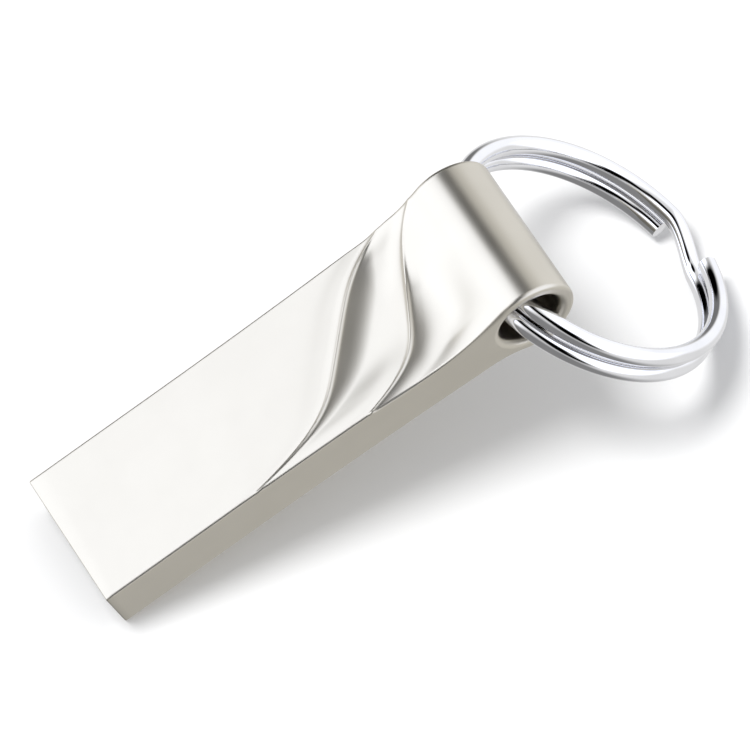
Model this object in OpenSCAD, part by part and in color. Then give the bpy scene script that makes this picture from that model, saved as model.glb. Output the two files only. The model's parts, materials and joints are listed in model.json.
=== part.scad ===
// A short metal USB flash drive on a split ring. The housing is one die casting:
// its front end is the plug, its top face has a relief of two curved ridges, and
// its rear end is a cross tube whose bore holds the split ring. Inside, a moulded
// memory module lies in a plastic tray and shows four contacts in the open plug.
// +X runs from the plug's mouth to the loop, and +Z out of the face with the relief.
// The origin is the middle of the plug's mouth. Lengths are in millimetres.

/* [Plug] */
// Outer width of the plug
plug_width = 12; // [11.9:0.05:12.1]
// Outer height of the plug
plug_height = 4.5; // [4.45:0.05:4.6]
// Thickness of the wall over and under the cavity
plug_wall = 0.4; // [0.3:0.05:0.45]
// Thickness of the side walls
side_wall = 0.35; // [0.3:0.05:0.4]
// Depth of the full-height cavity that a socket's tongue enters
socket_depth = 13; // [12.5:0.5:13.5]

/* [Housing] */
// Length from the plug's mouth to the back of the loop
body_length = 41.1; // [41:0.1:44]
// Width over the two ends of the loop
loop_width = 13; // [12.4:0.1:13.4]
// Where the sides begin to spread
flare_start = 11.6; // [8:0.2:14]
// Outer radius of the loop
loop_radius = 3.7; // [3.6:0.05:3.8]
// Height of the loop's axis over the middle plane of the plug
loop_lift = 0.35; // [0.3:0.05:0.4]
// Radius of the hollow that leads from the top face up to the loop
upper_fillet = 16; // [14:0.5:17]
// Radius of the hollow that leads from the underside down to the loop
lower_fillet = 6; // [5:0.5:7]
// Diameter of the bore through the loop
bore_diameter = 5; // [5:0.1:5.2]
// Radius of the rounding at each mouth of the bore
mouth_round = 0.6; // [0.4:0.1:0.7]

/* [Relief] */
// Depth of the hollow behind the front ridge
front_hollow = 0.7; // [0.3:0.1:0.8]
// Depth of the hollow behind the rear ridge
rear_hollow = 0.7; // [0.3:0.1:0.8]

/* [Split ring] */
// Radius of the coils' centre line
coil_radius = 10.95; // [10.85:0.05:11.05]
// Diameter of the wire
wire_diameter = 1.45; // [1.35:0.05:1.5]
// Angle at which the ring hangs below the body's line
hang_angle = 52.8; // [40:0.2:60]

/* [Memory module] */
// Length of the moulded module
module_length = 24.8; // [24:0.1:25]
// Width of the moulded module
module_width = 10.8; // [10.6:0.1:10.8]
// Thickness of the black moulding
mould_thickness = 1.05; // [1:0.05:1.1]
// Thickness of the laminate that carries the contacts
laminate_thickness = 0.3; // [0.25:0.05:0.3]
// Width of one contact
contact_width = 1.4; // [1:0.1:1.6]
// Length of the two supply contacts
supply_contact_length = 8.6; // [8:0.1:9]

/* [Hidden] */

$fn = 64;
play = 0.05;
past = 1;

// Heights of the housing's faces and of the cavity's floor and two ceilings
top = plug_height / 2;
floor_z = -top + plug_wall;
socket_ceiling = top - plug_wall;
chamber_ceiling = 0.95;
chamber_length = 27.2;
cavity_width = plug_width - 2 * side_wall;

// The loop, and the circles that blend it into the two faces
loop_x = body_length - loop_radius;
upper_centre_z = top + upper_fillet;
upper_rise = upper_centre_z - loop_lift;
upper_start = loop_x - sqrt(pow(upper_fillet + loop_radius, 2) - pow(upper_rise, 2));
lower_drop = top + lower_fillet + loop_lift;
lower_start = loop_x - sqrt(pow(lower_fillet + loop_radius, 2) - pow(lower_drop, 2));
upper_share = loop_radius / (upper_fillet + loop_radius);
lower_share = loop_radius / (lower_fillet + loop_radius);
upper_end = loop_x + upper_share * (upper_start - loop_x);
upper_end_z = loop_lift + upper_share * upper_rise;
lower_end = loop_x + lower_share * (lower_start - loop_x);

// The two ridges: place at the middle line, slope across, and sweep at the near and far edge
front_ridge_x = 24.4;
front_ridge_slope = 0.85;
front_near_sweep = 6.5;
front_far_sweep = 2;
rear_ridge_x = 30.85;
rear_ridge_slope = 0.5;
rear_near_sweep = 4.2;
rear_far_sweep = 1;
sweep_power = 5;
sweep_limit = 1.05;

// The hollows: skew towards the ridge, and how they die out towards the edges
hollow_skew = 0.6;
front_fade = 5.6;
front_fade_power = 2.5;
rear_fade_start = 3.5;
rear_fade_width = 7.5;
relief_rows = 15;
relief_cells = 6;
relief_clear = 0.03;

// Stack of the module over the cavity's floor
glue_film = 0.1;
tray_plate = 0.2;
tray_z = floor_z + glue_film;
mould_z = tray_z + tray_plate;
laminate_z = mould_z + mould_thickness;
board_z = laminate_z + laminate_thickness;
tray_length = 26;
tray_width = cavity_width - 2 * play;
tray_front = 0.3;
tray_lip = 0.3;
tray_wall_top = board_z - 0.1;
module_x = tray_front + tray_lip;
module_end = module_x + module_length;
tray_end = tray_front + tray_length;

// Film over the small parts, adhesive under the tray, glue behind it
film_thickness = 0.08;
film_margin = 0.4;
adhesive_margin = 1;
rear_glue_width = 8;

// Contacts: the outer pair for the supply, the inner pair for data
contact_thickness = 0.06;
contact_x = module_x + 0.4;
data_setback = 1;
outer_contact_y = 3.5;
inner_contact_y = 1;
pad_diameter = 0.7;
pad_pitch = 1.2;
pad_row_x = 11.4;

// Dies and wires inside the moulding
die_film = 0.05;
memory_die_size = [11, 7.6, 0.15];
memory_die_x = 12;
upper_die_step = 0.8;
controller_size = [3, 3, 0.2];
controller_x = 6.4;
wire_size = 0.06;
bond_reach = 0.6;
bond_drop = 0.12;
wire_pitch = 0.5;

// Parts that stand on the laminate behind the contacts
small_part = [1, 0.5, 0.5];
small_part_pitch = 1.6;
small_row_x = 15.2;
capacitor_row_y = 3.6;
resistor_row_y = 2;
resistor_height = 0.35;
capacitor_count = 5;
resistor_count = 4;
diode_size = [1.6, 0.8, 0.6];
diode_x = 15;
diode_y = -3.4;
solder_length = 0.2;
solder_height = 0.2;
crystal_size = [3.2, 2.5, 0.3];
crystal_lid_height = 0.4;
crystal_rim = 0.15;
crystal_x = 18.4;
crystal_y = -2.2;

// Seat of the split ring in the bore: it sags a little off the bore's axis, and has
// slid a little towards the near side
ring_back = 1.07;
ring_sag = 0.3;
ring_slide = 0.47;
ring_hang = [cos(hang_angle), 0, -sin(hang_angle)];
ring_normal = [sin(hang_angle), 0, cos(hang_angle)];
ring_centre = [loop_x, -ring_slide, loop_lift]
    + (coil_radius - ring_back) * ring_hang - ring_sag * ring_normal;

// The split ring: angles run round the coil from the far side through the lowest point
coil_gap = 0.2;
coil_offset = (wire_diameter + coil_gap) / 2;
ring_start = 101;
ring_end = 794;
step_start = 434;
step_end = 461;
ring_steps = 96;
ring_sides = 12;

// One closed solid between two grids of points, each a list of rows
module solid_between(low, high) {
    rows = len(low);
    cols = len(low[0]);
    size = rows * cols;
    function at(row, col) = row * cols + col;
    cells = [for (row = [0 : rows - 2], col = [0 : cols - 2]) [row, col]];
    bottom = [for (c = cells, half = [0, 1])
        half == 0
            ? [at(c[0], c[1]), at(c[0], c[1] + 1), at(c[0] + 1, c[1])]
            : [at(c[0], c[1] + 1), at(c[0] + 1, c[1] + 1), at(c[0] + 1, c[1])]];
    cover = [for (face = bottom) [face[2] + size, face[1] + size, face[0] + size]];
    ends = [for (col = [0 : cols - 2], row = [0, rows - 1])
        let (quad = [at(row, col), at(row, col) + size, at(row, col + 1) + size, at(row, col + 1)])
        row == 0 ? quad : [quad[3], quad[2], quad[1], quad[0]]];
    sides = [for (row = [0 : rows - 2], col = [0, cols - 1])
        let (quad = [at(row, col), at(row + 1, col), at(row + 1, col) + size, at(row, col) + size])
        col == 0 ? quad : [quad[3], quad[2], quad[1], quad[0]]];
    points = [for (grid = [low, high], row = grid, point = row) point];
    polyhedron(points = points, faces = concat(bottom, cover, ends, sides), convexity = 6);
}

// Half the housing's width at a place along it
function half_width(x) =
    let (along = min(max((x - flare_start) / (loop_x - flare_start), 0), 1))
    (plug_width + (loop_width - plug_width) * along * along) / 2;

// Height of the top face before the relief is cut
function face_z(x) =
    x < upper_start ? top : upper_centre_z - sqrt(pow(upper_fillet, 2) - pow(x - upper_start, 2));

// Place of a ridge across the face: nearly straight in the middle, swept at both edges
function ridge_x(y, middle, slope, near_sweep, far_sweep) =
    let (share = min(abs(y) * 2 / plug_width, sweep_limit))
    middle + slope * y + (y < 0 ? -near_sweep : far_sweep) * pow(share, sweep_power);
function front_ridge(y) =
    ridge_x(y, front_ridge_x, front_ridge_slope, front_near_sweep, front_far_sweep);
function rear_ridge(y) =
    ridge_x(y, rear_ridge_x, rear_ridge_slope, rear_near_sweep, rear_far_sweep);

// A hollow drops steeply behind its ridge and rises slowly to what follows
function hollow(share) = sin(180 * pow(share, hollow_skew));
function front_strength(y) = max(0, 1 - pow(abs(y) / front_fade, front_fade_power));
function rear_strength(y) =
    let (share = min(max((rear_fade_start - y) / rear_fade_width, 0), 1))
    share * share * (3 - 2 * share);

// The cutter whose floors are the hollows, a little proud of the face where nothing is cut
module relief() {
    reach = loop_width / 2 + play;
    lid_z = upper_end_z + past;
    rows = [for (row = [0 : relief_rows])
        let (
            y = -reach + 2 * reach * row / relief_rows,
            front_x = front_ridge(y),
            rear_x = rear_ridge(y),
            last_x = upper_end - relief_clear
        )
        concat(
            [for (cell = [0 : relief_cells - 1])
                let (share = cell / relief_cells, x = front_x + (rear_x - front_x) * share)
                [x, y, face_z(x) + relief_clear - front_hollow * front_strength(y) * hollow(share)]],
            [for (cell = [0 : relief_cells])
                let (share = cell / relief_cells, x = rear_x + (last_x - rear_x) * share)
                [x, y, face_z(x) + relief_clear - rear_hollow * rear_strength(y) * hollow(share)]]
        )];
    lids = [for (row = rows) [for (point = row) [point[0], point[1], lid_z]]];
    solid_between(rows, lids);
}

// A block given by its middle across Y, its ends along X and its heights
module block(x_from, x_to, width, z_from, z_to, y = 0) {
    translate([x_from, y - width / 2, z_from]) cube([x_to - x_from, width, z_to - z_from]);
}

module cross_cylinder(x, z, radius, sides) {
    translate([x, 0, z]) rotate([90, 0, 0])
        cylinder(h = loop_width + 2 * past, r = radius, center = true, $fn = sides);
}

// The round-mouthed bore through the loop
module bore() {
    radius = bore_diameter / 2;
    length = loop_width + 2 * past;
    translate([loop_x, 0, loop_lift]) rotate([90, 0, 0]) {
        cylinder(h = length, r = radius, center = true, $fn = 96);
        for (turn = [0, 180]) rotate([turn, 0, 0]) rotate_extrude($fn = 96)
            translate([0, loop_width / 2 - mouth_round]) difference() {
                square([radius + mouth_round, mouth_round + past]);
                translate([radius + mouth_round, 0]) circle(r = mouth_round);
            }
    }
}

module housing_outline() {
    steps = 8;
    near = [for (i = [0 : steps])
        let (x = flare_start + (loop_x - flare_start) * i / steps) [x, -half_width(x)]];
    side = concat([[0, -half_width(0)]], near, [[body_length + past, -half_width(loop_x)]]);
    far = [for (i = [len(side) - 1 : -1 : 0]) [side[i][0], -side[i][1]]];
    polygon(concat(side, far));
}

module housing() {
    wide = loop_width + 2 * past;
    color("#cfcac0") difference() {
        intersection() {
            translate([0, 0, -3 * top]) linear_extrude(height = 6 * top) housing_outline();
            union() {
                block(0, loop_x, wide, -top, top);
                cross_cylinder(loop_x, loop_lift, loop_radius, 96);
                difference() {
                    block(upper_start, upper_end, wide, 0, upper_end_z);
                    cross_cylinder(upper_start, upper_centre_z, upper_fillet, 360);
                }
                difference() {
                    block(lower_start, lower_end, wide, loop_lift - loop_radius, 0);
                    cross_cylinder(lower_start, -top - lower_fillet, lower_fillet, 180);
                }
            }
        }
        block(-past, socket_depth, cavity_width, floor_z, socket_ceiling);
        block(0, chamber_length, cavity_width, floor_z, chamber_ceiling);
        bore();
        relief();
    }
}

// Offset of the wire from the ring's middle plane: one coil, the step, the other coil
function wire_offset(angle) =
    let (share = min(max((angle - step_start) / (step_end - step_start), 0), 1))
    coil_offset * (1 - 2 * share * share * (3 - 2 * share));
function ring_out(angle) = cos(angle) * [0, 1, 0] + sin(angle) * ring_hang;
function wire_point(angle) =
    ring_centre + coil_radius * ring_out(angle) + wire_offset(angle) * ring_normal;

module split_ring() {
    loops = [for (i = [0 : ring_steps])
        let (
            angle = ring_start + (ring_end - ring_start) * i / ring_steps,
            ahead = wire_point(angle + 1) - wire_point(angle - 1),
            out = ring_out(angle),
            across = cross(ahead / norm(ahead), out)
        )
        [for (k = [0 : ring_sides - 1])
            let (turn = 360 * k / ring_sides)
            wire_point(angle) + wire_diameter / 2 * (cos(turn) * out + sin(turn) * across)]];
    walls = [for (i = [0 : ring_steps - 1], k = [0 : ring_sides - 1], half = [0, 1])
        let (
            here = i * ring_sides,
            next = here + ring_sides,
            side = (k + 1) % ring_sides
        )
        half == 0
            ? [here + k, here + side, next + k]
            : [here + side, next + side, next + k]];
    first = [for (k = [ring_sides - 1 : -1 : 0]) k];
    last = [for (k = [0 : ring_sides - 1]) ring_steps * ring_sides + k];
    color("#d8dade") polyhedron(
        points = [for (loop = loops, point = loop) point],
        faces = concat([first], [last], walls),
        convexity = 12
    );
}

module insulating_film() {
    color("#b8791f")
        block(
            socket_depth + film_margin, chamber_length - film_margin, cavity_width - 2 * play,
            chamber_ceiling - film_thickness, chamber_ceiling
        );
}

module tray_adhesive() {
    color("#d8d2b4")
        block(
            tray_front + adhesive_margin, tray_end - adhesive_margin,
            tray_width - adhesive_margin, floor_z, tray_z
        );
}

module carrier_tray() {
    color("#1d1e20") difference() {
        block(tray_front, tray_end, tray_width, tray_z, tray_wall_top);
        block(module_x, module_end, module_width, mould_z, top);
    }
}

module rear_glue() {
    color("#e6e0c8")
        block(tray_end, chamber_length, rear_glue_width, floor_z, tray_wall_top);
}

// The moulding, with a pocket for everything that is sealed in it
module mould_cap() {
    color("#17181a") difference() {
        block(module_x, module_end, module_width, mould_z, laminate_z);
        controller_die();
        lower_memory_die();
        upper_memory_die();
        die_films();
        controller_wires();
        memory_wires();
    }
}

module laminate() {
    color("#15402c")
        block(module_x, module_end, module_width, laminate_z, board_z);
}

module contact(y, setback) {
    color("#d9ae4a")
        block(
            contact_x + setback, contact_x + supply_contact_length, contact_width,
            board_z, board_z + contact_thickness, y
        );
}

module contact_vbus() { contact(-outer_contact_y, 0); }
module contact_data_minus() { contact(-inner_contact_y, data_setback); }
module contact_data_plus() { contact(inner_contact_y, data_setback); }
module contact_ground() { contact(outer_contact_y, 0); }

module test_pads() {
    color("#d9ae4a") for (i = [-3 : 3])
        translate([pad_row_x, i * pad_pitch, board_z])
            cylinder(h = contact_thickness, r = pad_diameter / 2);
}

// Dies hang from the laminate, each on its film
module die(x, size, level) {
    film_z = laminate_z - level * (die_film + size[2]);
    block(x, x + size[0], size[1], film_z - die_film - size[2], film_z - die_film);
}

module controller_die() { color("#6f7680") die(controller_x, controller_size, 0); }
module lower_memory_die() { color("#7d8794") die(memory_die_x, memory_die_size, 0); }
module upper_memory_die() { color("#7d8794") die(memory_die_x + upper_die_step, memory_die_size, 1); }

module film(x, size, level) {
    film_z = laminate_z - level * (die_film + size[2]);
    block(x, x + size[0], size[1], film_z - die_film, film_z);
}

module die_films() {
    color("#e8e3d0") {
        film(controller_x, controller_size, 0);
        film(memory_die_x, memory_die_size, 0);
        film(memory_die_x + upper_die_step, memory_die_size - [upper_die_step, 0, 0], 1);
    }
}

// A bond wire from a die's lower face down, out and up to the laminate
module bond_wire(edge_x, y, depth, way) {
    low = laminate_z - depth - bond_drop;
    path = [
        [-bond_reach / 3, laminate_z - depth], [-bond_reach / 3, low - wire_size],
        [bond_reach, low - wire_size], [bond_reach, laminate_z],
        [bond_reach - wire_size, laminate_z], [bond_reach - wire_size, low],
        [-bond_reach / 3 + wire_size, low], [-bond_reach / 3 + wire_size, laminate_z - depth]
    ];
    translate([edge_x, y + wire_size / 2, 0]) mirror([way < 0 ? 1 : 0, 0, 0])
        rotate([90, 0, 0]) linear_extrude(height = wire_size) polygon(path);
}

module controller_wires() {
    depth = die_film + controller_size[2];
    color("#e2b23c") for (i = [-2 : 2]) {
        bond_wire(controller_x + controller_size[0], i * wire_pitch, depth, 1);
        bond_wire(controller_x, i * wire_pitch, depth, -1);
    }
}

module memory_wires() {
    lower_depth = die_film + memory_die_size[2];
    color("#e2b23c") for (i = [-5 : 5])
        bond_wire(memory_die_x, (i + 0.5) * wire_pitch, lower_depth, -1);
}

module small_parts(count, x, y, height) {
    for (i = [0 : count - 1])
        translate([x + i * small_part_pitch, y - small_part[1] / 2, board_z])
            cube([small_part[0], small_part[1], height]);
}

module crystal_base() {
    color("#c9b48a") translate([crystal_x, crystal_y - crystal_size[1] / 2, board_z])
        cube(crystal_size);
}

module crystal_lid() {
    length = crystal_size[0] - 2 * crystal_rim;
    width = crystal_size[1] - 2 * crystal_rim;
    color("#c7c9cb")
        translate([crystal_x + crystal_rim, crystal_y - width / 2, board_z + crystal_size[2]])
            cube([length, width, crystal_lid_height]);
}

module decoupling_capacitors() {
    color("#b58a5e")
        small_parts(capacitor_count, small_row_x, capacitor_row_y, small_part[2]);
}

module resistors() {
    color("#22252b")
        small_parts(resistor_count, small_row_x, resistor_row_y, resistor_height);
}

module surge_diode() {
    color("#26282c") translate([diode_x, diode_y - diode_size[1] / 2, board_z]) cube(diode_size);
}

// Fillets of solder against the ends of the small parts
module solder_pair(x, y, length, width) {
    for (way = [0, 1]) translate([x + way * length, y, board_z]) mirror([1 - way, 0, 0])
        translate([0, width / 2, 0]) rotate([90, 0, 0]) linear_extrude(height = width)
            polygon([[0, 0], [solder_length, 0], [0, solder_height]]);
}

module solder_row(count, y) {
    for (i = [0 : count - 1])
        solder_pair(small_row_x + i * small_part_pitch, y, small_part[0], small_part[1]);
}

module solder_joints() {
    color("#c3c6c9") {
        solder_row(capacitor_count, capacitor_row_y);
        solder_row(resistor_count, resistor_row_y);
        solder_pair(diode_x, diode_y, diode_size[0], diode_size[1] / 2);
        solder_pair(crystal_x, crystal_y, crystal_size[0], crystal_size[1] / 2);
    }
}

housing();
split_ring();
insulating_film();
tray_adhesive();
carrier_tray();
rear_glue();
mould_cap();
laminate();
test_pads();
contact_vbus();
contact_data_minus();
contact_data_plus();
contact_ground();
controller_die();
lower_memory_die();
upper_memory_die();
die_films();
controller_wires();
memory_wires();
crystal_base();
crystal_lid();
decoupling_capacitors();
resistors();
surge_diode();
solder_joints();
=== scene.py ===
"""A short metal USB flash drive on a split ring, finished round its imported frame.

The housing and the ring are rebuilt here with their fine shape, and every part
gets its real finish. Sizes are in millimetres, and MM turns them into metres.
"""
import json
import math

import bpy
import numpy as np
from mathutils import Matrix, Vector

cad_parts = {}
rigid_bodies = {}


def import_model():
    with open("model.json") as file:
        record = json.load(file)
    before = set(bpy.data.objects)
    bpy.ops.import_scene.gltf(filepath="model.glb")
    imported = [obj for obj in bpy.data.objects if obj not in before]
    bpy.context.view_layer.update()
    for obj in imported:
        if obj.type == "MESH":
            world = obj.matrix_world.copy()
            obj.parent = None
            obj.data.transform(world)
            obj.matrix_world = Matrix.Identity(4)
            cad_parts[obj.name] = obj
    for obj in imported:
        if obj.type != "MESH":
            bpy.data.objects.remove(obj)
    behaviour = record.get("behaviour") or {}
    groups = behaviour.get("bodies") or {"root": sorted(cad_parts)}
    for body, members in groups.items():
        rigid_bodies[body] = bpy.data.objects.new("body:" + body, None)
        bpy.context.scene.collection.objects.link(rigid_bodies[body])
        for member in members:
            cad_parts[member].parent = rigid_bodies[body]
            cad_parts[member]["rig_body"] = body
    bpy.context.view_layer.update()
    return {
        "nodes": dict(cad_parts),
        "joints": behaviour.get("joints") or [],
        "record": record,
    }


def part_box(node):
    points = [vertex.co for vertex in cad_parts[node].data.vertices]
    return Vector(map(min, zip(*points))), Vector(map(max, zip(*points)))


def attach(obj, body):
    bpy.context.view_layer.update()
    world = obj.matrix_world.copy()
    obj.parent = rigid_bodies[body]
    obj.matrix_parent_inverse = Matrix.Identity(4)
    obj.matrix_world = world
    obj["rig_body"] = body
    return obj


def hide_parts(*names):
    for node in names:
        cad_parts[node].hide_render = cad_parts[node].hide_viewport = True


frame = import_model()

MM = 0.001
record = frame["record"]
mounts = {mount["name"]: mount for mount in record["mounts"]}


# ------------------------------------------------------------------ camera

VIEW_AZIMUTH = 4.54
VIEW_ELEVATION = 61.64
VIEW_ROLL = -39.37
VIEW_DISTANCE = 696.0
VIEW_CENTRE = (25.6, -2.4, 0.0)
VIEW_LENS = 452.6


def aim_camera():
    """A long lens over the near side, rolled so that the drive points up to the right."""
    azimuth, elevation = math.radians(VIEW_AZIMUTH), math.radians(VIEW_ELEVATION)
    back = Vector((
        math.sin(azimuth) * math.cos(elevation),
        -math.cos(azimuth) * math.cos(elevation),
        math.sin(elevation),
    ))
    data = bpy.data.cameras.new("view")
    data.lens = VIEW_LENS
    data.clip_start, data.clip_end = 0.01, 10.0
    camera = bpy.data.objects.new("view", data)
    bpy.context.scene.collection.objects.link(camera)
    turn = (-back).to_track_quat("-Z", "Y").to_matrix().to_4x4()
    roll = Matrix.Rotation(math.radians(VIEW_ROLL), 4, "Z")
    middle = Vector(VIEW_CENTRE) * MM
    camera.matrix_world = Matrix.Translation(middle + back * VIEW_DISTANCE * MM) @ turn @ roll
    bpy.context.scene.camera = camera


aim_camera()


# --------------------------------------------------------------- materials

def linear(hex_colour):
    """An sRGB hex colour as linear RGBA."""
    channels = [int(hex_colour[i:i + 2], 16) / 255 for i in (1, 3, 5)]
    return tuple(
        c / 12.92 if c <= 0.04045 else ((c + 0.055) / 1.055) ** 2.4 for c in channels
    ) + (1.0,)


SOCKETS = {"Second": 1}


def add(tree, kind, settings=None, **inputs):
    """Adds a node with its settings. Inputs are values, or sockets to link from."""
    made = tree.nodes.new(kind)
    for name, value in (settings or {}).items():
        setattr(made, name, value)
    for name, value in inputs.items():
        socket = made.inputs[SOCKETS.get(name, name.replace("_", " "))]
        if isinstance(value, bpy.types.NodeSocket):
            tree.links.new(value, socket)
        else:
            socket.default_value = value
    return made


def new_material(name):
    """An empty material, its tree, and coordinates on the object in metres."""
    material = bpy.data.materials.new(name)
    material.use_nodes = True
    material.node_tree.nodes.clear()
    place_node = add(material.node_tree, "ShaderNodeTexCoord")
    return material, material.node_tree, place_node.outputs["Object"]


def finish_material(tree, **inputs):
    """Ends a material's tree with its shader."""
    shader = add(tree, "ShaderNodeBsdfPrincipled", **inputs)
    add(tree, "ShaderNodeOutputMaterial", Surface=shader.outputs[0])


def grain(tree, where, size_mm, detail=2.0, roughness=0.5):
    """Noise whose blobs are about size_mm across."""
    return add(
        tree, "ShaderNodeTexNoise", Vector=where, Scale=1 / (size_mm * MM),
        Detail=detail, Roughness=roughness,
    ).outputs["Fac"]


def spread(tree, value, low, high):
    """A 0 to 1 value spread over a range."""
    return add(
        tree, "ShaderNodeMapRange", Value=value, To_Min=low, To_Max=high,
    ).outputs[0]


def tint(tree, value, dark, light):
    """A colour between two, by a 0 to 1 value that is mostly near one half."""
    ramp = add(tree, "ShaderNodeValToRGB", Fac=value)
    ramp.color_ramp.elements[0].position = 0.3
    ramp.color_ramp.elements[0].color = linear(dark)
    ramp.color_ramp.elements[1].position = 0.7
    ramp.color_ramp.elements[1].color = linear(light)
    return ramp.outputs["Color"]


def relief_of(tree, height, depth_mm, strength=1.0):
    """A bump whose full height is depth_mm."""
    return add(
        tree, "ShaderNodeBump", Height=height, Distance=depth_mm * MM, Strength=strength,
    ).outputs["Normal"]


def grained(name, dark, light, grain_mm, depth_mm, rough, metallic=0.0, **more):
    """A finish with a fine grain that shows in its colour, its gloss and its surface."""
    material, tree, where = new_material(name)
    fine = grain(tree, where, grain_mm)
    broad = grain(tree, where, grain_mm * 25)
    finish_material(
        tree, Base_Color=tint(tree, broad, dark, light), Metallic=metallic,
        Roughness=spread(tree, broad, rough * 0.88, rough * 1.12),
        Normal=relief_of(tree, fine, depth_mm), **more,
    )
    return material


def satin_nickel_plate():
    """Pearl nickel on a blasted zinc casting: warm, silky, with broad soft highlights.

    The blasted grain is about 0.06 mm, drawn at 0.09 mm so that it just shows.
    """
    material, tree, where = new_material("satin_nickel_plate")
    fine = grain(tree, where, 0.09, detail=3.0)
    broad = grain(tree, where, 4.0)
    finish_material(
        tree, Base_Color=tint(tree, broad, "#C6C1B5", "#CAC5B9"), Metallic=1.0,
        Roughness=spread(tree, broad, 0.28, 0.32),
        Normal=relief_of(tree, fine, 0.0015),
    )
    return material


def bright_chrome_plate():
    """Chrome plate on drawn spring wire: a cold mirror with faint lines along the wire."""
    material, tree, where = new_material("bright_chrome_plate")
    fine = grain(tree, where, 0.3)
    broad = grain(tree, where, 3.0)
    finish_material(
        tree, Base_Color=tint(tree, broad, "#E6E6E8", "#EEEEF0"), Metallic=1.0,
        Roughness=spread(tree, broad, 0.03, 0.06),
        Normal=relief_of(tree, fine, 0.0006),
    )
    return material


FINISHES = {
    "nickel_plated_zinc": satin_nickel_plate(),
    "chromed_steel": bright_chrome_plate(),
    # amber film, glossy, slightly see-through
    "polyimide_film": grained(
        "polyimide_film", "#A8620F", "#C07A1C", 0.4, 0.001, 0.18, Alpha=0.85),
    # milky acrylic glue on a film
    "acrylic_adhesive": grained("acrylic_adhesive", "#D3CBA9", "#DED8BA", 0.3, 0.004, 0.45),
    # moulded ABS with a fine spark texture
    "black_tray_plastic": grained("moulded_black_abs", "#17181A", "#1F2022", 0.08, 0.004, 0.48),
    # cured epoxy, glassy with soft waves
    "epoxy_glue": grained("cured_epoxy", "#E2DCC0", "#ECE8D2", 0.8, 0.01, 0.14),
    # filled moulding compound, matt with a fine mineral grain
    "moulding_compound": grained("moulding_compound", "#141517", "#1B1C1F", 0.05, 0.003, 0.55),
    # solder resist over woven glass
    "board_laminate": grained("solder_resist_board", "#123A28", "#1A4A33", 0.15, 0.003, 0.3),
    # hard gold with the marks of plugging in
    "gold_plate": grained("hard_gold_plate", "#D8A848", "#E6BC5E", 0.06, 0.001, 0.22, 1.0),
    # ground silicon, a dark grey mirror
    "silicon": grained("ground_silicon", "#656D78", "#76808C", 0.1, 0.0005, 0.16, 0.6),
    "die_film": grained("die_attach_film", "#E2DCC8", "#ECE8D8", 0.1, 0.001, 0.5),
    "ceramic": grained("fired_alumina", "#BDA679", "#CDB88E", 0.05, 0.003, 0.5),
    "kovar_lid": grained("nickel_plated_lid", "#BDBFC0", "#CBCDCE", 0.08, 0.001, 0.3, 1.0),
    "capacitor_ceramic": grained("sintered_titanate", "#A87D50", "#BC9064", 0.04, 0.002, 0.45),
    "resistor_glaze": grained("resistor_glaze", "#1D2026", "#292D34", 0.1, 0.001, 0.2),
    "solder": grained("bright_solder", "#BEC1C4", "#CED0D2", 0.1, 0.004, 0.25, 1.0),
}
slot_of = {part["node"]: part["material_slot"] for part in record["subparts"]}


def dress(piece, slot):
    """Gives a piece the finish of one of the record's slots, all over."""
    piece.data.materials.clear()
    piece.data.materials.append(FINISHES[slot])
    for face in piece.data.polygons:
        face.material_index = 0


for node_name, node_object in frame["nodes"].items():
    dress(node_object, slot_of[node_name])


# ------------------------------------------------------------ making pieces

def start_piece(name, adder, **settings):
    """Adds a primitive with nothing else selected, and names it."""
    bpy.ops.object.select_all(action="DESELECT")
    adder(**settings)
    piece = bpy.context.active_object
    piece.name = name
    piece.data.name = name
    return piece


def in_edit_mode(piece, *steps):
    """Runs each step in edit mode on the whole mesh, or on what the step selects."""
    bpy.ops.object.select_all(action="DESELECT")
    bpy.context.view_layer.objects.active = piece
    piece.select_set(True)
    bpy.ops.object.mode_set(mode="EDIT")
    for step in steps:
        bpy.ops.mesh.select_all(action="SELECT")
        step()
    bpy.ops.object.mode_set(mode="OBJECT")


def close_up():
    """Merges the seams and points every face outwards."""
    bpy.ops.mesh.remove_doubles(threshold=0.002 * MM)
    bpy.ops.mesh.select_all(action="SELECT")
    bpy.ops.mesh.normals_make_consistent(inside=False)


def smooth(piece, angle=32):
    """Shades a piece smooth, apart from edges sharper than the angle."""
    bpy.ops.object.select_all(action="DESELECT")
    bpy.context.view_layer.objects.active = piece
    piece.select_set(True)
    bpy.ops.object.shade_smooth_by_angle(angle=math.radians(angle))


def stand_in_for(piece, node_name):
    """Finishes a piece that shows in place of a CAD node."""
    dress(piece, slot_of[node_name])
    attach(piece, frame["nodes"][node_name]["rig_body"])
    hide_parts(node_name)


# ----------------------------------------------------------------- housing

_, housing_high = (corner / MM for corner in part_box("housing"))
_, tray_high = (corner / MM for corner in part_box("carrier_tray"))
film_low, film_high = (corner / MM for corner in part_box("insulating_film"))
adhesive_low, _ = (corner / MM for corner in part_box("tray_adhesive"))
_, glue_high = (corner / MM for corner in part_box("rear_glue"))
loop_axis = Vector(frame["joints"][0]["pos_m"]) / MM

LOOP_X, LOOP_Z = loop_axis.x, loop_axis.z
LOOP_RADIUS = housing_high.x - LOOP_X
HALF_HEIGHT = -mounts["underside"]["pos_m"][2] / MM
PLUG_HALF_WIDTH = 6.0
LOOP_HALF_WIDTH = housing_high.y
FLARE_START = 11.6
UPPER_FILLET = 16.0
LOWER_FILLET = 6.0
BORE_RADIUS = 2.5
MOUTH_ROUND = 0.6
JOIN_X = LOOP_X - BORE_RADIUS - MOUTH_ROUND

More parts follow.
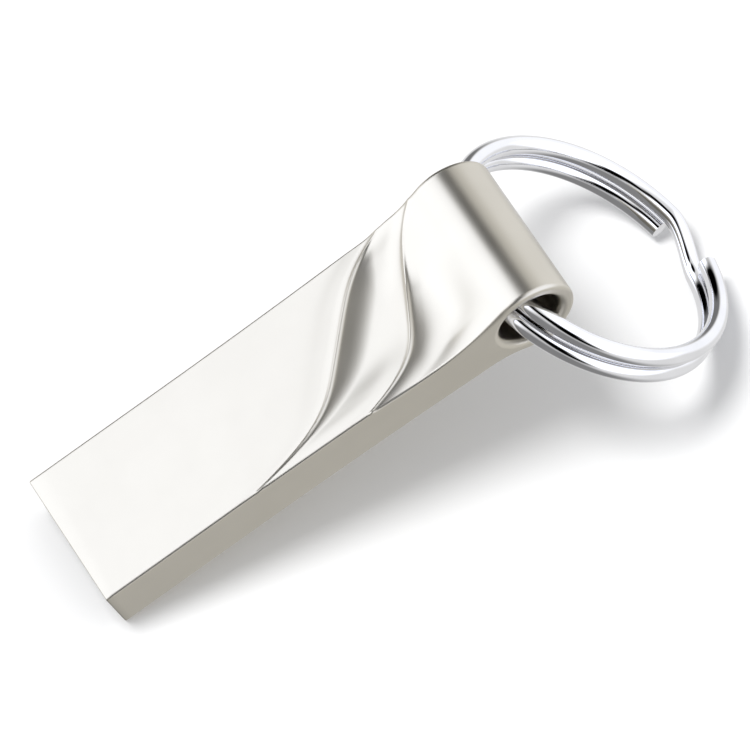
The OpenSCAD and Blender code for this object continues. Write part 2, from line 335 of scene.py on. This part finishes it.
TRAY_PLAY = 0.05
FILM_SETBACK = 0.4
CAVITY_HALF_WIDTH = tray_high.y + TRAY_PLAY
CAVITY_CORNER = 0.08
SOCKET_CEILING = -adhesive_low.z
SOCKET_DEPTH = film_low.x - FILM_SETBACK
CHAMBER_CEILING = film_high.z
CHAMBER_END = glue_high.x

EDGE_ROUND = 0.2
RIM_ROUND = 0.36
RIM_FROM, RIM_RUN = 32, 4
PLUG_ROUND = 0.12

WALL_SLOPE = 0.34
WALL_BEND = 1.6
WALL_START = 1.8
FRONT_WALL, FRONT_WALL_REACH, FRONT_WALL_POWER = 3.0, 5.9, 3.2
REAR_WALL_GROWTH, REAR_WALL_FROM, REAR_WALL = 0.53, 3.4, 4.3
FRONT_LIP, REAR_LIP = 0.5, 0.7
LIP_HEIGHT = 0.07
LIP_WIDTH = 0.2
DIP_DEPTH = 0.11
DIP_PLACE = 1.1
DIP_WIDTH = 1.0
DIP_MIDDLE, DIP_LEAN = 0.55, 0.45
SWEEP_LIMIT, SWEEP_POWER = 1.03, 5
CREST_STEPS = (0.04, 0.08, 0.13, 0.19, 0.27, 0.38, 0.55, 0.8, 1.15)


def tangent_start(fillet, reach):
    """Where a fillet leaves its face, and its share of the way to the loop's axis."""
    span = math.sqrt((fillet + LOOP_RADIUS) ** 2 - reach ** 2)
    return LOOP_X - span, LOOP_X - span * LOOP_RADIUS / (fillet + LOOP_RADIUS)


UPPER_START, UPPER_END = tangent_start(UPPER_FILLET, HALF_HEIGHT + UPPER_FILLET - LOOP_Z)
LOWER_START, LOWER_END = tangent_start(LOWER_FILLET, HALF_HEIGHT + LOWER_FILLET + LOOP_Z)


def clamp(value, low=0.0, high=1.0):
    """A value kept within a range."""
    return min(max(value, low), high)


def ease(share):
    """A share from 0 to 1 that starts and ends slowly."""
    share = clamp(share)
    return share * share * (3 - 2 * share)


def half_width(x):
    """Half of the body's width, which spreads from the plug to the loop."""
    share = clamp((x - FLARE_START) / (LOOP_X - FLARE_START))
    return PLUG_HALF_WIDTH + (LOOP_HALF_WIDTH - PLUG_HALF_WIDTH) * share * share


def upper_face(x):
    """Height and slope of the top face before the relief."""
    if x < UPPER_START:
        return HALF_HEIGHT, 0.0
    run = x - UPPER_START
    drop = math.sqrt(UPPER_FILLET ** 2 - run ** 2)
    return HALF_HEIGHT + UPPER_FILLET - drop, run / drop


def lower_face(x):
    """Height and slope of the underside."""
    if x < LOWER_START:
        return -HALF_HEIGHT, 0.0
    run = x - LOWER_START
    drop = math.sqrt(LOWER_FILLET ** 2 - run ** 2)
    return -HALF_HEIGHT - LOWER_FILLET + drop, -run / drop


def ridge_x(y, middle, slope, near_sweep, far_sweep):
    """A ridge's place: nearly straight across the middle, swept at both edges."""
    share = min(abs(y) / PLUG_HALF_WIDTH, SWEEP_LIMIT)
    return middle + slope * y + (far_sweep if y > 0 else -near_sweep) * share ** SWEEP_POWER


def front_ridge(y):
    """Where the front ridge's crest lies along the body."""
    return ridge_x(y, middle=24.4, slope=0.85, near_sweep=6.5, far_sweep=2.0)


def rear_ridge(y):
    """Where the rear ridge's crest lies along the body."""
    return ridge_x(y, middle=30.85, slope=0.5, near_sweep=4.2, far_sweep=1.0)


def front_wall(y):
    """Width of the wall behind the front ridge, which dies out before both edges."""
    return FRONT_WALL * max(0.0, 1 - (abs(y) / FRONT_WALL_REACH) ** FRONT_WALL_POWER)


def rear_wall(y):
    """Width of the wall behind the rear ridge, widest at the near edge."""
    return clamp(REAR_WALL_GROWTH * (REAR_WALL_FROM - y), 0.0, REAR_WALL)


def steepness(ridge, y):
    """Slope along the body of a wall that falls by WALL_SLOPE across its own ridge."""
    step = 0.05
    run = (ridge(y + step) - ridge(y - step)) / (2 * step)
    return WALL_SLOPE / math.hypot(1, run)


def valley(along, width, wall, slope, open_ended):
    """Depth of a hollow: steepest behind its crest, flat at the wall's foot, rising after it.

    An open-ended hollow runs out without an edge. The other rises up to the next crest.
    """
    if along <= 0 or along >= width or wall <= 0.01:
        return 0.0
    depth = slope * ease(wall / WALL_START) * wall / WALL_BEND
    if along < wall:
        return -depth * (1 - (1 - along / wall) ** WALL_BEND)
    share = (along - wall) / (width - wall)
    return -depth * (1 - (ease(share) if open_ended else share ** 2))


def dip(distance, y):
    """A faint trough before a crest, deepest at the far side."""
    return -DIP_DEPTH * (DIP_MIDDLE + DIP_LEAN * y / PLUG_HALF_WIDTH) * math.exp(
        -(((distance + DIP_PLACE) / DIP_WIDTH) ** 2))


def lip(distance, strength):
    """The fine raised line along a crest."""
    return LIP_HEIGHT * strength * math.exp(-((distance / LIP_WIDTH) ** 2))


def relief_height(x, y):
    """Height that the two ridges and their hollows add to the top face."""
    first, second = front_ridge(y), rear_ridge(y)
    front_slope, rear_slope = steepness(front_ridge, y), steepness(rear_ridge, y)
    height = valley(x - first, second - first, front_wall(y), front_slope, False)
    height += valley(x - second, UPPER_END - second, rear_wall(y), rear_slope, True)
    height += dip(x - first, y) + dip(x - second, y)
    height += lip(x - first, clamp(FRONT_LIP + front_wall(y)))
    return height + lip(x - second, clamp(REAR_LIP + rear_wall(y)))


CREST_ROOM = 2.4
FLAT_COLUMNS = 20
FRONT_HOLLOW_COLUMNS = 30
REAR_HOLLOW_COLUMNS = 22


def evenly(low, high, count):
    """Shares of the way from low to high, both ends left out."""
    return [low + (high - low) * (i + 1) / (count + 1) for i in range(count)]


def body_stations(y):
    """Places along the body at one y, which follow the ridges: the same count at every y."""
    first, second = front_ridge(y), rear_ridge(y)
    room = clamp((UPPER_END - second) / CREST_ROOM)
    around = [-s for s in reversed(CREST_STEPS)] + [0.0] + list(CREST_STEPS)
    reach = CREST_STEPS[-1]
    join = max(JOIN_X, (second + reach * room + UPPER_END) / 2)
    stations = [PLUG_ROUND] + evenly(PLUG_ROUND, first - reach, FLAT_COLUMNS)
    stations += [first + s for s in around]
    stations += evenly(first + reach, second - reach, FRONT_HOLLOW_COLUMNS)
    stations += [second + s * (room if s > 0 else 1) for s in around]
    stations += evenly(second + reach * room, join, REAR_HOLLOW_COLUMNS)
    return stations + [join]


near_stations = body_stations(-PLUG_HALF_WIDTH)
far_stations = body_stations(PLUG_HALF_WIDTH)
BODY_COLUMNS = len(near_stations)
LOOP_FACE_COLUMNS = 8
ARC_COLUMNS = 84


def rows_of_skin():
    """Every row across the skin: from the bore's middle, round one side, over, and back."""
    side = [("bore", t) for t in np.linspace(0, 1, 9)[:-1]]
    side += [("flare", t) for t in np.linspace(0, 1, 7)[:-1]]
    side += [("side", t) for t in (0, 0.12, 0.3, 0.5, 0.7, 0.88, 0.96)]
    side += [("edge", t) for t in np.linspace(0, 1, 6)[:-1]]
    near_edge = [-1, -0.994, -0.982, -0.96]
    far_edge = [-t for t in reversed(near_edge)]
    skin = near_edge + list(np.linspace(-0.93, 0.93, 59)) + far_edge
    rows = [(kind, -1, t) for kind, t in side] + [("skin", 0, q) for q in skin]
    return rows + [(kind, 1, t) for kind, t in reversed(side)]


ROWS = rows_of_skin()


def section_point(x, half_height, width, corner, row):
    """A point of a rectangular section with rounded corners. A negative height is the lower half."""
    kind, side, t = row
    sign = 1 if half_height > 0 else -1
    height = abs(half_height)
    if kind in ("bore", "flare"):
        return x, side * width, 0.0
    if kind == "side":
        return x, side * width, sign * t * (height - corner)
    if kind == "edge":
        angle = t * math.pi / 2
        y = side * (width - corner * (1 - math.cos(angle)))
        return x, y, sign * (height - corner * (1 - math.sin(angle)))
    return x, t * (width - corner), half_height


def middle_line(x):
    """Height of the seam along each side, which runs from the plug's middle to the bore's."""
    return LOOP_Z * clamp(x / JOIN_X) ** 2


def round_at(x):
    """Radius of the long edges, which grows towards the loop's rim."""
    return EDGE_ROUND + (RIM_ROUND - EDGE_ROUND) * ease((x - RIM_FROM) / RIM_RUN)


def across(x, z, slope, upper):
    """A skin point moved inwards by a distance along its normal."""
    length = math.hypot(1, slope)
    normal_x, normal_z = (-slope / length, 1 / length)
    if not upper:
        normal_x, normal_z = -normal_x, -normal_z
    return lambda inset: (x - normal_x * inset, z - normal_z * inset)


def rim_point(kind, side, t, inset, foot, corner, width_at):
    """Rows of one side from the seam or the bore's mouth to the skin's edge."""
    if kind == "side":
        top_x, top_z = inset(corner)
        x = foot[0] + (top_x - foot[0]) * t
        return x, side * width_at(x), foot[1] + (top_z - foot[1]) * t
    angle = t * math.pi / 2
    x, z = inset(corner * (1 - math.sin(angle)))
    return x, side * (width_at(x) - corner * (1 - math.cos(angle))), z


def body_point(column, upper, row):
    """A point on the body's faces, its edges or its sides."""
    kind, side, t = row
    if kind == "skin":
        near, far = near_stations[column], far_stations[column]
        x = near + (far - near) * (t + 1) / 2
        if upper:
            x = STATIONS[t][column]
        y = t * (half_width(x) - round_at(x))
        z = upper_face(x)[0] + relief_height(x, y) if upper else lower_face(x)[0]
        return x, y, z
    edges = near_stations if side < 0 else far_stations
    x = edges[column]
    foot_x = x * JOIN_X / edges[-1]
    foot = (foot_x, middle_line(foot_x))
    if kind in ("bore", "flare"):
        if column == BODY_COLUMNS - 1:
            return bore_point(kind, side, t, math.pi)
        return foot[0], side * half_width(foot[0]), foot[1]
    edge_y = side * (half_width(x) - round_at(x))
    z, slope = upper_face(x) if upper else lower_face(x)
    if upper:
        z += relief_height(x, edge_y)
    inset = across(x, z, slope, upper)
    return rim_point(kind, side, t, inset, foot, round_at(x), half_width)


def bore_point(kind, side, t, angle):
    """The bore's wall from its middle out, and the rounding at its mouth."""
    mouth = half_width(LOOP_X + (BORE_RADIUS + MOUTH_ROUND) * math.cos(angle))
    radius, y = BORE_RADIUS, (mouth - MOUTH_ROUND) * t
    if kind == "flare":
        turn = t * math.pi / 2
        radius += MOUTH_ROUND * (1 - math.cos(turn))
        y = mouth - MOUTH_ROUND * (1 - math.sin(turn))
    return LOOP_X + radius * math.cos(angle), side * y, LOOP_Z + radius * math.sin(angle)


def loop_point(outline, row):
    """A point on the loop: its skin, rim, face, mouth or bore, at one place round it."""
    kind, side, t = row
    x, z, slope_normal, bore_angle = outline(side if kind != "skin" else t)
    if kind == "bore":
        shared = (outline(-1)[3] + outline(1)[3]) / 2
        bore_angle = shared + (bore_angle - shared) * t
    if kind in ("bore", "flare"):
        return bore_point(kind, side, t, bore_angle)
    if kind == "skin":
        y = t * (half_width(x) - round_at(x))
        return x, y, z
    reach = BORE_RADIUS + MOUTH_ROUND
    foot = (LOOP_X + reach * math.cos(bore_angle), LOOP_Z + reach * math.sin(bore_angle))
    normal_x, normal_z = slope_normal

    def inset(distance):
        return x - normal_x * distance, z - normal_z * distance

    return rim_point(kind, side, t, inset, foot, round_at(x), half_width)


def bore_angle_at(angle, edge, upper):
    """Spreads an outline's angle over the bore, so that the join lands at its front."""
    quarter = math.pi / 2
    join_z = (upper_face if upper else lower_face)(edge)[0]
    join = abs(math.atan2(join_z - LOOP_Z, edge - LOOP_X))
    share = clamp((abs(angle) - quarter) / (join - quarter))
    return (quarter + quarter * share) * (1 if upper else -1)


def loop_face_outline(share, upper):
    """The stretch of face between the join and the loop's cylinder, at one share of it."""
    def outline(t):
        edge = STATIONS[t][-1] if upper else (
            near_stations[-1] + (far_stations[-1] - near_stations[-1]) * (t + 1) / 2)
        last = UPPER_END if upper else LOWER_END
        x = edge + (last - edge) * share
        z, slope = upper_face(x) if upper else lower_face(x)
        length = math.hypot(1, slope)
        sign = 1 if upper else -1
        normal = (-sign * slope / length, sign / length)
        if upper:
            z += relief_height(x, t * (half_width(x) - round_at(x)))
        angle = math.atan2(z - LOOP_Z, x - LOOP_X)
        return x, z, normal, bore_angle_at(angle, edge, upper)
    return outline


def arc_ends():
    """Angles at which the loop's cylinder meets the top face and the underside."""
    first = math.atan2(upper_face(UPPER_END)[0] - LOOP_Z, UPPER_END - LOOP_X)
    last = math.atan2(lower_face(LOWER_END)[0] - LOOP_Z, LOWER_END - LOOP_X)
    return first, last


def arc_outline(angle):
    """The loop's cylinder at one angle, with the bore's angle spread to match."""
    def outline(t):
        x = LOOP_X + LOOP_RADIUS * math.cos(angle)
        z = LOOP_Z + LOOP_RADIUS * math.sin(angle)
        bore_angle = angle
        if abs(angle) > math.pi / 2:
            edge = (near_stations if t < 0 else far_stations)[-1]
            bore_angle = bore_angle_at(angle, edge, angle > 0)
        return x, z, (math.cos(angle), math.sin(angle)), bore_angle
    return outline


STATIONS = {t: body_stations(t * PLUG_HALF_WIDTH) for kind, side, t in ROWS if kind == "skin"}
STATIONS[-1] = near_stations
STATIONS[1] = far_stations


def cavity_sections(upper):
    """The plug's inside and mouth as sections, from the back wall out to the skin."""
    sign = 1 if upper else -1
    ceiling = CHAMBER_CEILING if upper else SOCKET_CEILING
    inner, corner = CAVITY_HALF_WIDTH, CAVITY_CORNER
    inside = [
        (CHAMBER_END, ceiling), (SOCKET_DEPTH + 6, ceiling), (SOCKET_DEPTH, ceiling),
        (SOCKET_DEPTH, SOCKET_CEILING), (SOCKET_DEPTH / 2, SOCKET_CEILING), (1.0, SOCKET_CEILING),
    ]
    sections = [(x, sign * height, inner, corner) for x, height in inside]
    for step in range(5):
        angle = step / 4 * math.pi / 2
        back, out = PLUG_ROUND * (1 - math.sin(angle)), PLUG_ROUND * (1 - math.cos(angle))
        sections.append((back, sign * (SOCKET_CEILING + out), inner + out, corner + out))
    for step in range(4):
        angle = step / 4 * math.pi / 2
        back, inset = PLUG_ROUND * (1 - math.cos(angle)), PLUG_ROUND * (1 - math.sin(angle))
        sections.append((
            back, sign * (HALF_HEIGHT - inset), PLUG_HALF_WIDTH - inset, EDGE_ROUND - inset / 2))
    return sections


def back_wall_point(row, index):
    """The back wall's middle line, which closes each half of the cavity."""
    first = next(i for i, r in enumerate(ROWS) if r[0] == "side")
    share = clamp((index - first) / (len(ROWS) - 1 - 2 * first))
    return CHAMBER_END, CAVITY_HALF_WIDTH * (2 * share - 1), 0.0


def housing_columns():
    """Functions of a row, one for each column, from the cavity over the loop and back."""
    def half(upper):
        columns = [back_wall_point]
        for section in cavity_sections(upper):
            columns.append(lambda row, i, s=section: section_point(*s, row))
        for column in range(BODY_COLUMNS):
            columns.append(lambda row, i, c=column: body_point(c, upper, row))
        for share in evenly(0, 1, LOOP_FACE_COLUMNS):
            outline = loop_face_outline(share, upper)
            columns.append(lambda row, i, o=outline: loop_point(o, row))
        return columns

    arc = []
    for angle in np.linspace(*arc_ends(), ARC_COLUMNS):
        arc.append(lambda row, i, o=arc_outline(angle): loop_point(o, row))
    return half(True) + arc + half(False)[::-1]


def drop_folded_faces(piece, column_count, column_of, row_of):
    """Takes out the sheet that lies folded between each side's seam and the bore."""
    join = len(cavity_sections(True)) + BODY_COLUMNS
    mouth = next(i for i, row in enumerate(ROWS) if row[0] == "side")
    for vertex in piece.data.vertices:
        vertex.select = False
    for edge in piece.data.edges:
        edge.select = False
    for face in piece.data.polygons:
        columns, rows = column_of[list(face.vertices)], row_of[list(face.vertices)]
        at_join = columns.max() == join or columns.min() == column_count - 1 - join
        in_bore = rows.max() <= mouth or rows.min() >= len(ROWS) - 1 - mouth
        face.select = bool(at_join and in_bore)
    bpy.ops.object.mode_set(mode="EDIT")
    bpy.ops.mesh.select_mode(type="FACE")
    bpy.ops.mesh.delete(type="FACE")
    bpy.ops.mesh.select_mode(type="VERT")
    bpy.ops.object.mode_set(mode="OBJECT")


def make_housing():
    """The casting as one skin: a sheet of rows and columns laid over the whole shape."""
    columns = housing_columns()
    piece = start_piece(
        "housing_casting", bpy.ops.mesh.primitive_grid_add,
        x_subdivisions=len(columns) - 1, y_subdivisions=len(ROWS) - 1, size=1,
    )
    grid = np.array([v.co for v in piece.data.vertices])
    column_of = np.rint((grid[:, 0] + 0.5) * (len(columns) - 1)).astype(int)
    row_of = np.rint((grid[:, 1] + 0.5) * (len(ROWS) - 1)).astype(int)
    points = [columns[c](ROWS[r], r) for c, r in zip(column_of, row_of)]
    piece.data.vertices.foreach_set("co", (np.array(points) * MM).astype(np.float32).ravel())
    piece.data.update()
    drop_folded_faces(piece, len(columns), column_of, row_of)
    in_edit_mode(piece, close_up)
    smooth(piece)
    stand_in_for(piece, "housing")
    return piece


make_housing()


# -------------------------------------------------------------- split ring

ring_low, ring_high = (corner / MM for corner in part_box("split_ring"))
WIRE = 1.45
COIL_GAP = 0.2
COIL_RADIUS = (ring_high.y - ring_low.y - WIRE) / 2
RING_CENTRE = Vector(mounts["split_ring_eye"]["pos_m"]) / MM
RING_NORMAL = Vector(mounts["split_ring_eye"]["axis"]).normalized()
RING_ACROSS = Vector((0, 1, 0))
RING_DOWN = RING_NORMAL.cross(RING_ACROSS)
RING_DOWN *= -1 if RING_DOWN.z > 0 else 1
COIL_START, COIL_END = 101, 794
STEP_START, STEP_END = 434, 461


def coil_aside(angle):
    """How far the wire's middle is to one side of the ring's middle plane."""
    share = (angle - STEP_START) / (STEP_END - STEP_START)
    return (WIRE + COIL_GAP) / 2 * (1 - 2 * ease(share))


def wire_place(angle):
    """The wire's middle at one angle, and the way it runs there."""
    turn = math.radians(angle)
    out = math.cos(turn) * RING_ACROSS + math.sin(turn) * RING_DOWN
    onward = math.cos(turn) * RING_DOWN - math.sin(turn) * RING_ACROSS
    climb = (coil_aside(angle + 0.5) - coil_aside(angle - 0.5)) / math.radians(1)
    middle = RING_CENTRE + COIL_RADIUS * out + coil_aside(angle) * RING_NORMAL
    return middle, (COIL_RADIUS * onward + climb * RING_NORMAL).normalized()


def make_ring():
    """One bent wire: a coil, a step across, and the other coil. Both ends are cut square."""
    middle, onward = wire_place(COIL_START)
    piece = start_piece(
        "split_ring_wire", bpy.ops.mesh.primitive_circle_add, vertices=36,
        radius=WIRE / 2 * MM, fill_type="NGON", location=middle * MM,
        rotation=onward.to_track_quat("Z", "Y").to_euler(),
    )
    bpy.ops.object.transform_apply(location=True, rotation=True, scale=True)
    in_edit_mode(piece, sweep_wire, close_up)
    smooth(piece)
    stand_in_for(piece, "split_ring")
    return piece


def sweep_wire():
    """Spins the first coil, walks the step across one degree at a time, spins the second."""
    def spin(angle, steps):
        bpy.ops.mesh.spin(
            steps=steps, angle=math.radians(angle), center=RING_CENTRE * MM, axis=RING_NORMAL,
        )

    spin(STEP_START - COIL_START, (STEP_START - COIL_START) // 2)
    for angle in range(STEP_START, STEP_END):
        spin(1, 1)
        aside = coil_aside(angle + 1) - coil_aside(angle)
        bpy.ops.transform.translate(value=RING_NORMAL * aside * MM)
    spin(COIL_END - STEP_END, (COIL_END - STEP_END) // 2)


make_ring()


# ----------------------------------------------------- floor, light and air

PROP_ANGLE = 17.4
FLOOR_SIZE = 6.0
FLOOR_GAP = 0.1


def make_floor():
    """A wide pale floor, touched by the plug's lower edge and the ring that props the loop.

    It shows from above only, and the metal mirrors the studio round it instead.
    """
    floor = start_piece(
        "floor", bpy.ops.mesh.primitive_plane_add, size=FLOOR_SIZE,
        location=(0, 0, -(HALF_HEIGHT + FLOOR_GAP) * MM), rotation=(0, math.radians(PROP_ANGLE), 0),
    )
    material, tree, _ = new_material("matt_white_card")
    card = add(tree, "ShaderNodeBsdfDiffuse", Color=linear("#FAFAFA"))
    clear = add(tree, "ShaderNodeBsdfTransparent")
    side = add(tree, "ShaderNodeNewGeometry").outputs["Backfacing"]
    mix = add(tree, "ShaderNodeMixShader", Fac=side)
    tree.links.new(card.outputs[0], mix.inputs[1])
    tree.links.new(clear.outputs[0], mix.inputs[2])
    add(tree, "ShaderNodeOutputMaterial", Surface=mix.outputs[0])
    floor.data.materials.append(material)
    floor.visible_glossy = False
    floor.visible_shadow = False


def heading(from_top, round_top):
    """A direction by its angle from straight up, and its angle from +X towards +Y."""
    tilt, turn = math.radians(from_top), math.radians(round_top)
    return Vector((
        math.sin(tilt) * math.cos(turn), math.sin(tilt) * math.sin(turn), math.cos(tilt)))


def along(tree, direction, axis):
    """How far a direction points along an axis."""
    return add(
        tree, "ShaderNodeVectorMath", {"operation": "DOT_PRODUCT"},
        Vector=direction, Second=axis,
    ).outputs["Value"]


# Set one by one. A later panel hangs in front of an earlier one.
# Level, angle from the top, angle round it, half height, half width, softness.
PANELS = (
    ("left_wall", 0.25, 105, 205, 60, 45, 0.25),
    ("back_wall", 0.2, 90, 70, 25, 25, 0.3),
    ("back_light", 1.2, 100, 15, 35, 30, 0.3),
    ("right_panel", 1.8, 70, 320, 35, 50, 0.2),
    ("overhead", 2.2, 35, 140, 40, 45, 0.2),
    ("back_gap", 0.0, 65, 80, 15, 30, 0.3),
    ("top_gap", 0.0, 35, 45, 15, 15, 0.3),
    ("centre_gap", 0.0, 10, 345, 15, 15, 0.3),
    ("camera_gap", 0.0, 35, 275, 25, 15, 0.3),
    ("camera_tail", 0.0, 60, 260, 25, 12, 0.4),
)
ROOM_LEVEL = 0.85
FILL_LEVEL = 0.58


def make_air():
    """A white backdrop, and a studio of soft panels and dark gaps for the metal to mirror."""
    world = bpy.data.worlds.new("studio")
    world.use_nodes = True
    tree = world.node_tree
    tree.nodes.clear()
    direction = add(tree, "ShaderNodeTexCoord").outputs["Generated"]
    level = ROOM_LEVEL
    for name, brightness, from_top, round_top, half_tall, half_wide, softness in PANELS:
        middle = heading(from_top, round_top)
        down = heading(from_top + 90, round_top)
        aside = down.cross(middle)
        spot = add(
            tree, "ShaderNodeCombineXYZ",
            X=along(tree, direction, down / math.sin(math.radians(half_tall))),
            Y=along(tree, direction, aside / math.sin(math.radians(half_wide))),
            Z=add(
                tree, "ShaderNodeMapRange", Value=along(tree, direction, middle),
                From_Min=-0.2, From_Max=0.0, To_Min=9.0, To_Max=0.0,
            ).outputs[0],
        )
        reach = add(
            tree, "ShaderNodeVectorMath", {"operation": "LENGTH"}, Vector=spot.outputs[0])
        inside = add(
            tree, "ShaderNodeMapRange", {"interpolation_type": "SMOOTHSTEP"},
            Value=reach.outputs["Value"], From_Min=1 - softness, From_Max=1 + softness,
            To_Min=1.0, To_Max=0.0,
        )
        level = add(
            tree, "ShaderNodeMix", {"label": name}, Factor=inside.outputs[0],
            A=level, B=brightness,
        ).outputs[0]
    path = add(tree, "ShaderNodeLightPath")
    level = add(
        tree, "ShaderNodeMix", Factor=path.outputs["Is Diffuse Ray"], A=level, B=FILL_LEVEL,
    ).outputs[0]
    level = add(
        tree, "ShaderNodeMix", Factor=path.outputs["Is Camera Ray"], A=level, B=1.0,
    ).outputs[0]
    warmth = add(tree, "ShaderNodeMapRange", Value=level, From_Min=0.9, From_Max=1.8)
    colour = add(tree, "ShaderNodeValToRGB", Fac=warmth.outputs[0])
    colour.color_ramp.elements[0].color = linear("#FFFFFF")
    colour.color_ramp.elements[1].color = linear("#ECF1FE")
    room = add(
        tree, "ShaderNodeBackground", Color=colour.outputs["Color"], Strength=level)
    add(tree, "ShaderNodeOutputWorld", Surface=room.outputs[0])
    bpy.context.scene.world = world


def add_sun(name, from_top, round_top, strength, spread_angle):
    """A far lamp that casts the soft shadow."""
    data = bpy.data.lights.new(name, "SUN")
    data.energy, data.angle = strength, math.radians(spread_angle)
    lamp = bpy.data.objects.new(name, data)
    bpy.context.scene.collection.objects.link(lamp)
    lamp.rotation_euler = heading(from_top, round_top).to_track_quat("Z", "Y").to_euler()
    lamp.visible_glossy = False


make_floor()
make_air()
add_sun("key", 12, 90, 1.9, 24)
bpy.context.scene.view_settings.view_transform = "Standard"
